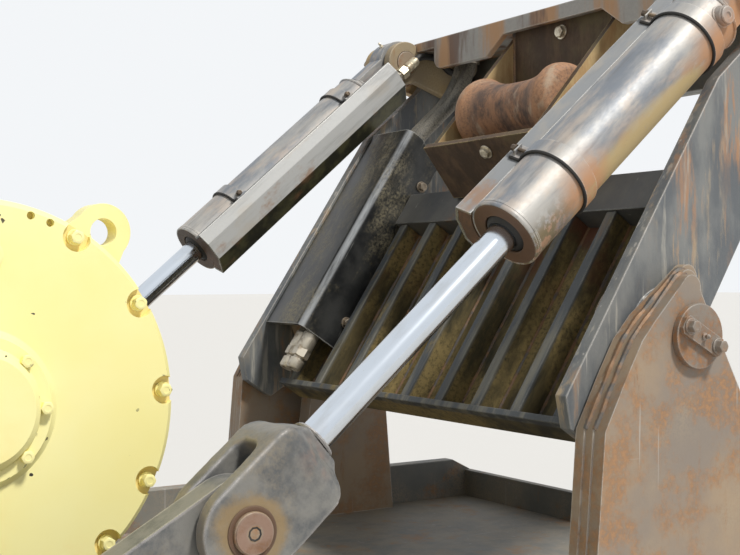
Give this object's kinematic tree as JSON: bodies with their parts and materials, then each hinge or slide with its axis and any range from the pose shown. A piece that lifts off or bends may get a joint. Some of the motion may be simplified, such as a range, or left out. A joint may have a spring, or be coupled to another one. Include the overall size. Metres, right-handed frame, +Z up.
{
  "type": "skidder rear winch-and-arch unit",
  "caption": "Rear unit of a log skidder: frame section with a drum winch, a tilting log arch with a fairlead roller, and lift cylinders that swing the arch.",
  "frame": {"origin": "centre of the rear axle's seat, on the underside of the two seat pads", "axes": "+X towards the machine's rear, +Y towards its right side, +Z up"},
  "size_m": [2.7, 1.46, 1.76],
  "materials": {
    "frame_paint": "worn dark paint with rust",
    "arch_paint": "worn black paint with rust streaks",
    "panel_paint": "olive-brown, scuffed and dusty",
    "rusty_steel": "brown rust",
    "roller_rust": "orange-brown rust",
    "winch_paint": "pale yellow gloss paint with chips",
    "barrel_paint": "worn grey paint with ochre mud and rust",
    "rod_chrome": "polished",
    "pin_steel": "bare steel",
    "clevis_steel": "worn grey paint",
    "guard_black": "dusty black",
    "hose_rubber": "dusty black hose",
    "gland_black": "oily black",
    "cover_paint": "worn grey paint",
    "pipe_zinc": "zinc plated, dulled"
  },
  "bodies": {
    "frame": {"frame_side_left": "frame_paint", "frame_side_right": "frame_paint", "frame_deck": "frame_paint", "frame_belly": "frame_paint", "frame_bulkheads": "frame_paint", "frame_nose": "frame_paint", "frame_rear": "frame_paint", "axle_seats": "frame_paint", "lug_left": "clevis_steel", "lug_right": "clevis_steel", "pivot_ears_left": "rusty_steel", "pivot_ears_right": "rusty_steel", "pivot_pins": "pin_steel", "winch_base": "winch_paint", "winch_case_left": "winch_paint", "winch_case_right": "winch_paint", "winch_cover_left": "winch_paint", "winch_cover_right": "winch_paint", "winch_motor": "frame_paint"},
    "winch_drum": {"winch_drum": "rusty_steel"},
    "arch": {"arch_leg_left": "arch_paint", "arch_leg_right": "arch_paint", "arch_panel": "panel_paint", "arch_cross_member": "arch_paint", "arch_top": "arch_paint", "arch_ears_left": "arch_paint", "arch_ears_right": "arch_paint", "arch_back": "arch_paint", "fairlead_box": "rusty_steel", "hose_guard": "guard_black", "arch_hoses": "hose_rubber", "boom_ears": "arch_paint", "cylinder_pins": "pin_steel", "roller_shaft": "pin_steel"},
    "roller": {"roller": "roller_rust"},
    "barrel_left": {"barrel_left": "barrel_paint", "pipe_cover_left": "cover_paint", "gland_left": "gland_black", "pipe_left": "pipe_zinc", "band_clamps_left": "barrel_paint"},
    "barrel_right": {"barrel_right": "barrel_paint", "pipe_cover_right": "cover_paint", "gland_right": "gland_black", "pipe_right": "pipe_zinc", "band_clamps_right": "barrel_paint"},
    "rod_left": {"rod_left": "rod_chrome", "clevis_left": "clevis_steel", "clevis_pins_left": "pin_steel"},
    "rod_right": {"rod_right": "rod_chrome", "clevis_right": "clevis_steel", "clevis_pins_right": "pin_steel"}
  },
  "joints": [
    {"name": "arch_tilt", "type": "hinge", "parent": "frame", "child": "arch", "pos_m": [-0.15, 0, 0.85], "axis": [0, 1, 0], "range_deg": [-45, 5]},
    {"name": "drum_spin", "type": "hinge", "parent": "frame", "child": "winch_drum", "pos_m": [-1.278, 0, 0.76], "axis": [0, 1, 0], "continuous": true},
    {"name": "roller_spin", "type": "hinge", "parent": "arch", "child": "roller", "pos_m": [0.03451, 0, 1.32965], "axis": [0, 1, 0], "continuous": true},
    {"name": "barrel_left_swing", "type": "hinge", "parent": "arch", "child": "barrel_left", "pos_m": [0.07794, -0.585, 1.51542], "axis": [0, 1, 0], "range_deg": [-3.1, 26.5]},
    {"name": "rod_left_slide", "type": "slide", "parent": "barrel_left", "child": "rod_left", "axis": [-0.7597, 0, -0.6502], "range_m": [-0.364, 0.042]},
    {"name": "barrel_right_swing", "type": "hinge", "parent": "arch", "child": "barrel_right", "pos_m": [0.07794, 0.585, 1.51542], "axis": [0, 1, 0], "range_deg": [-3.1, 26.5]},
    {"name": "rod_right_slide", "type": "slide", "parent": "barrel_right", "child": "rod_right", "axis": [-0.7597, 0, -0.6502], "range_m": [-0.364, 0.042]}
  ],
  "couplings": [
    {"joint": "barrel_left_swing", "follows": "arch_tilt", "ratio": -0.585},
    {"joint": "rod_left_slide", "follows": "arch_tilt", "m_per_rad": 0.462},
    {"joint": "barrel_right_swing", "follows": "arch_tilt", "ratio": -0.585},
    {"joint": "rod_right_slide", "follows": "arch_tilt", "m_per_rad": 0.462}
  ]
}
